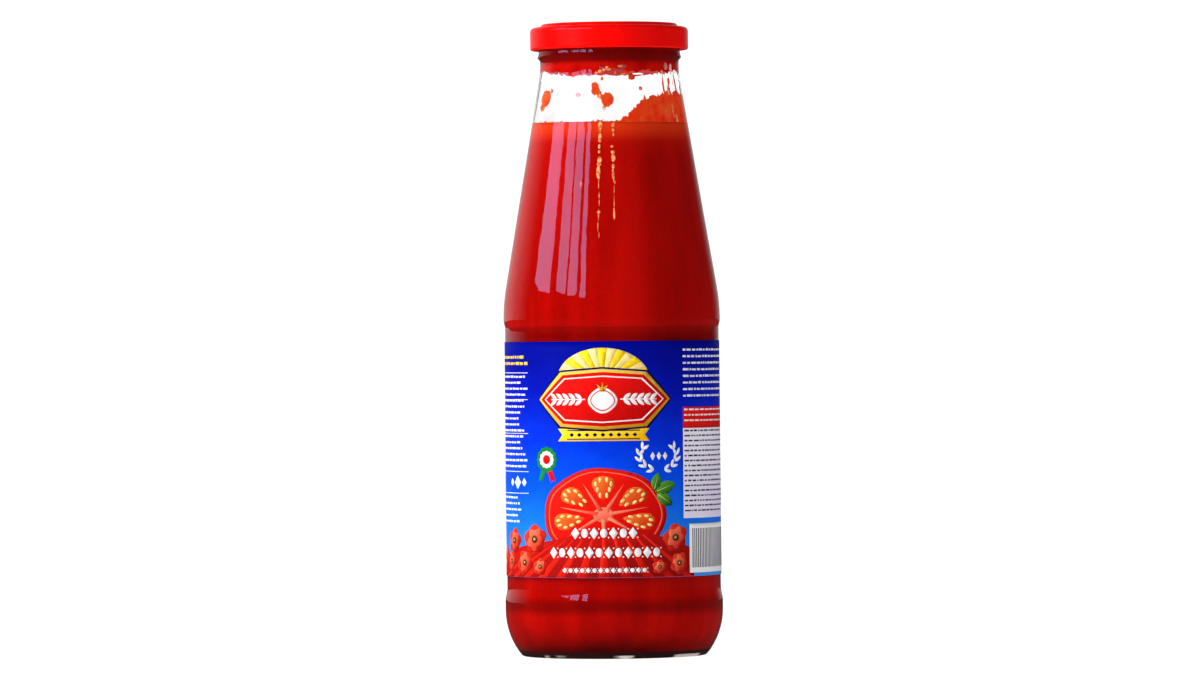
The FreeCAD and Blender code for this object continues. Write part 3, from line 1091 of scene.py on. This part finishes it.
poppies = bmesh.new()
for along, up, size, heading in [
    (-31.0, 42.0, 5.4, 20),
    (-36.6, 33.8, 4.5, 47),
    (-43.8, 41.4, 4.7, 5),
    (-46.6, 34.0, 3.7, 64),
    (-53.8, 35.6, 4.2, 31),
    (-28.4, 32.4, 3.2, 12),
    (22.9, 42.4, 5.0, 30),
    (24.4, 33.4, 3.8, 58),
    (16.4, 32.2, 2.7, 9),
]:
    for colour, (width, height, turn_deg, points, lobes, lobe_depth) in enumerate([
        (1, 0.88, heading, 60, 5, 0.1),
        (0.72, 0.62, heading + 36, 60, 5, 0.16),
        (0.27, 0.24, 0, 60, 15, 0.28),
        (0.12, 0.11, 0, 12, 0, 0),
    ]):
        shape = ellipse(along, up, size * width, size * height, turn_deg, points, lobes, lobe_depth)
        add_shape(poppies, shape, 7 + colour, colour)
press(poppies, "print_poppies", [petal_ink, inner_petal_ink, stamen_ink, eye_ink])


# ---- The print: white ornament ----
# Rows of lozenges, discs and dots across the field, where such labels carry their large white print.

ornament = bmesh.new()


def add_ornament_row(bm, middle, up, width, height, pitch):
    """Lozenges and discs by turns, with a small dot over and under each gap."""
    count = int(width / pitch)
    for number in range(count):
        along = middle + (number - (count - 1) / 2) * pitch
        points = 4 if number % 2 == 0 else 16
        reach = pitch * (0.46 if number % 2 == 0 else 0.36)
        rise = height * (0.5 if number % 2 == 0 else 0.38)
        add_shape(bm, ellipse(along, up, reach, rise, points=points), 7, 0)
        for side in (-1, 1):
            dot = ellipse(along + pitch / 2, up + side * height * 0.36, pitch * 0.08, pitch * 0.08, points=8)
            add_shape(bm, dot, 7, 0)


add_ornament_row(ornament, CENTRE_LINE, 44.2, 24.0, 4.2, 3.4)
add_ornament_row(ornament, CENTRE_LINE, 37.4, 42.0, 4.2, 3.4)
add_ornament_row(ornament, CENTRE_LINE, 31.2, 31.0, 2.0, 2.2)
press(ornament, "print_ornament", [white_ink])


# ---- The print: small print and panels ----
# Rows of short dashes stand for the small print. Left of the design they are white on the blue, with rules.
# Right of it are a red band, a pale panel with dark rows, and a striped box. More rows go round the back.

DASH_LENGTHS = (0.7, 2.9)
DASH_GAPS = (0.4, 0.7)
SHORTEST_DASH = 0.3
small_print = random.Random(41)
lilac_ink = ink("pale_lilac_ink", "#e6daf4", "#f6f0fd")
grey_ink = ink("dark_grey_ink", "#2c2a44", "#4a4668")


def add_rows(bm, left, right, low, high, pitch, height, number, ink_index, fill=1.0):
    """Rows of dashes as long as words, each row ending where its last dash does."""
    up = high - height
    while up >= low:
        along = left
        end = left + (right - left) * (fill - small_print.random() * 0.25 * fill)
        while along < end:
            stop = min(along + small_print.uniform(*DASH_LENGTHS), right)
            if stop - along > SHORTEST_DASH:
                dash = box(along, up, stop, up + height * small_print.uniform(0.8, 1.0))
                add_shape(bm, dash, number, ink_index)
            along = stop + small_print.uniform(*DASH_GAPS)
        up -= pitch


left_block = bmesh.new()
add_rows(left_block, -61.0, -34.0, 101.5, 106.5, 2.2, 1.1, 1, 1)
add_rows(left_block, -61.0, -34.0, 66.5, 99.5, 2.1, 0.8, 1, 0)
add_rows(left_block, -61.0, -36.5, 47.5, 57.0, 2.1, 0.8, 1, 0)
for number, size in enumerate((1.5, 2.4, 1.5)):
    add_shape(left_block, ellipse(-45.4 + 4.4 * number, 61.9, size, size, points=4), 1, 0)
for up in (100.3, 90.9, 79.0, 65.6, 58.0):
    add_shape(left_block, box(-61.0, up, -34.0, up + 0.22), 1, 0)
press(left_block, "print_left_block", [white_ink, yellow_ink])

right_ground = bmesh.new()
add_shape(right_ground, box(26.6, 80.6, 62.0, 88.0), 1, 1)
add_shape(right_ground, box(26.6, 49.0, 62.0, 80.6), 1, 0)
add_shape(right_ground, box(29.2, 29.8, 60.0, 47.0), 8, 2)
press(right_ground, "print_right_ground", [lilac_ink, red_ink, white_ink])

right_block = bmesh.new()
add_rows(right_block, 26.8, 60.0, 90.0, 108.5, 2.3, 0.8, 1, 0)
add_rows(right_block, 27.2, 61.0, 81.6, 87.4, 1.9, 0.6, 2, 0)
add_rows(right_block, 27.2, 61.0, 49.8, 80.0, 1.75, 0.65, 2, 1)
for number in range(28):
    add_shape(right_block, box(30.6 + number, 31.6, 31.1 + number, 45.4), 9, 1)
press(right_block, "print_right_block", [white_ink, grey_ink])

back_block = bmesh.new()
for left, right in [(68.0, 92.0), (-92.0, -66.0)]:
    add_rows(back_block, left, right, 78.0, 106.5, 2.2, 1.0, 1, 0)
    add_rows(back_block, left, right, 34.0, 66.0, 2.1, 0.85, 1, 0)
    for up in (108.0, 74.0, 69.6, 31.4):
        add_shape(back_block, box(left, up, right, up + 0.25), 1, 1)
for number in range(9):
    add_shape(back_block, ellipse(69.2 + 2.7 * number, 71.9, 0.9, 0.9, points=12), 1, 2)
    add_shape(back_block, ellipse(-90.8 + 3.0 * number, 71.9, 0.9, 0.9, points=4), 1, 1)
add_shape(back_block, box(-111.0, 60.0, -97.0, 92.0), 1, 3)
add_rows(back_block, -110.0, -98.0, 61.5, 91.0, 2.0, 0.9, 2, 0)
add_band(back_block, ellipse(104.0, 70.0, 6.4, 6.4), ellipse(104.0, 70.0, 5.7, 5.7), 1, 0)
for heading in (30, 90, 150):
    add_shape(back_block, moved(leaf(4.6, 2.4), 104.0, 67.6, heading), 1, 4)
press(back_block, "print_back_block", [white_ink, yellow_ink, red_ink, navy_ink, leaf_ink])


# ---- The studio ----
# A plain pale floor and soft daylight from the left, as from tall windows. Behind the jar all is white.

FLOOR_GAP = 0.1 * MM  # under the foot, so that the two don't share a plane

floor = bmesh.new()
floor_place = Matrix.Translation((0, 0, -FLOOR_GAP))
bmesh.ops.create_grid(floor, x_segments=1, y_segments=1, size=4, matrix=floor_place)
floor_mesh = bpy.data.meshes.new("studio_floor")
floor.to_mesh(floor_mesh)
floor.free()
put_in_scene("studio_floor", floor_mesh)


def how_seen(add):
    """Two shares for what the backdrop shows: seen by the camera, straight or through glass, and mirrored."""
    path = add("LightPath").outputs
    direct = add("Math", {0: path["Is Camera Ray"], 1: path["Is Transmission Ray"]}, operation="MAXIMUM")
    return direct, path["Is Glossy Ray"]


def pale_floor(add):
    """White paper. What is seen of it is mostly lifted to white, and keeps some of the jar's soft shadow. The
    glass mirrors it dimly."""
    direct, reflected = how_seen(add)
    share = add("Math", {0: direct, 1: 0.4, 2: 0.35}, operation="MULTIPLY_ADD")
    paper = add("BsdfDiffuse", {"Color": linear("#f6f6f6")})
    white = add("Emission", {"Color": (1, 1, 1, 1), "Strength": 1.26})
    seen = add("MixShader", {0: share, 1: paper, 2: white})
    dim = add("Emission", {"Color": (1, 1, 1, 1), "Strength": 0.04})
    only_reflected = add("Math", {0: reflected, 1: direct}, operation="SUBTRACT", use_clamp=True)
    return add("MixShader", {0: only_reflected, 1: seen, 2: dim})


floor_mesh.materials.append(make_material("white_backdrop_paper", pale_floor))

AMBIENT = 0.32  # what lights the jar from all round
BACKDROP = 1.12  # what the camera sees behind it
world = bpy.data.worlds.new("white_studio")
world.use_nodes = True
world.node_tree.nodes.clear()
bpy.context.scene.world = world
add_to_world = partial(add_node, world)
direct, reflected = how_seen(add_to_world)
direction = add_to_world("SeparateXYZ", {"Vector": add_to_world("TexCoord").outputs["Generated"]}).outputs
away_and_left = add_to_world(
    "Math", {0: direction["X"], 1: -0.35, 2: direction["Y"]}, operation="MULTIPLY_ADD"
)
behind_jar = add_to_world(
    "MapRange",
    {"Value": away_and_left, "From Min": 0.5, "From Max": 1.05, "To Min": 0.02, "To Max": 0.46},
    interpolation_type="SMOOTHSTEP",
)
mirrored = add_to_world("Mix", {"Factor": reflected, "A": AMBIENT, "B": behind_jar}, data_type="FLOAT")
strength = add_to_world("Mix", {"Factor": direct, "A": mirrored, "B": BACKDROP}, data_type="FLOAT")
background = add_to_world("Background", {"Color": (1, 1, 1, 1), "Strength": strength})
add_to_world("OutputWorld", {"Surface": background})


JAR_MIDDLE = Vector((0, 0, 120 * MM))


def add_lamp(name, azimuth, elevation, distance, width, height, power, colour, in_gloss):
    """An area lamp at a bearing in degrees, to the right of the camera's side, turned to the jar."""
    data = bpy.data.lights.new(name, "AREA")
    data.shape = "RECTANGLE"
    data.size = width
    data.size_y = height
    data.energy = power
    data.color = linear(colour)[:3]
    lamp = put_in_scene(name, data)
    bearing = math.radians(azimuth)
    rise = math.radians(elevation)
    away = Vector((math.sin(bearing) * math.cos(rise), -math.cos(bearing) * math.cos(rise), math.sin(rise)))
    lamp.location = JAR_MIDDLE + away * distance
    lamp.rotation_euler = away.to_track_quat("Z", "Y").to_euler()
    lamp.visible_glossy = in_gloss
    lamp.visible_diffuse = not in_gloss
    return lamp


add_lamp("soft_key", -61, 13, 1.5, 0.9, 1.2, 28, "#fffdf8", False)
add_lamp("soft_fill", 50, 20, 1.8, 1.0, 1.2, 2.5, "#f8faff", False)
add_lamp("soft_back", 176, 20, 1.8, 1.2, 0.8, 20, "#ffffff", False)

# the tall window panes that show as streaks in the glass: bearing, width and elevation of the sill in degrees
WINDOW_PANES = [(-82.5, 21.0, 12.5), (-58.0, 13.5, 13.3), (-43.5, 11.0, 12.4), (-31.5, 5.5, 11.6)]
PANE_DISTANCE = 1.6
PANE_HEIGHT = 1.0
PANE_POWER = 13  # watts to a square metre
EYE_HEIGHT = 0.15  # the sills' elevations are taken from here
for number, (bearing, span, sill) in enumerate(WINDOW_PANES):
    pane_width = 2 * PANE_DISTANCE * math.tan(math.radians(span / 2))
    name = "window_pane_%d" % number
    pane = add_lamp(name, bearing, 0, PANE_DISTANCE, pane_width, PANE_HEIGHT, 1, "#9cc4ff", True)
    pane.location.z = EYE_HEIGHT + PANE_DISTANCE * math.tan(math.radians(sill)) + PANE_HEIGHT / 2
    pane.data.energy = PANE_POWER * pane_width * PANE_HEIGHT


# ---- The camera ----
# Level, at half the jar's height, far enough away that the sides look nearly parallel.

CAMERA_DISTANCE = 2.6
CAMERA_HEIGHT = 0.1113
CAMERA_ASIDE = -0.0042
FRAME_WIDTH = 0.4253  # what the frame takes in at the jar
SENSOR_WIDTH = 36
AIM_OVER_CAMERA = 0.0013
LEAN = math.radians(-0.53)

camera_data = bpy.data.cameras.new("camera")
camera_data.sensor_width = SENSOR_WIDTH
camera_data.lens = SENSOR_WIDTH * CAMERA_DISTANCE / FRAME_WIDTH
camera_data.clip_start = 0.05
camera_data.clip_end = 30
camera = put_in_scene("camera", camera_data)
camera.location = (CAMERA_ASIDE, -CAMERA_DISTANCE, CAMERA_HEIGHT)
look_up = Matrix.Rotation(math.pi / 2 + math.atan2(AIM_OVER_CAMERA, CAMERA_DISTANCE), 3, "X")
camera.rotation_euler = (look_up @ Matrix.Rotation(LEAN, 3, "Z")).to_euler()
bpy.context.scene.camera = camera
bpy.context.scene.view_settings.view_transform = "Standard"
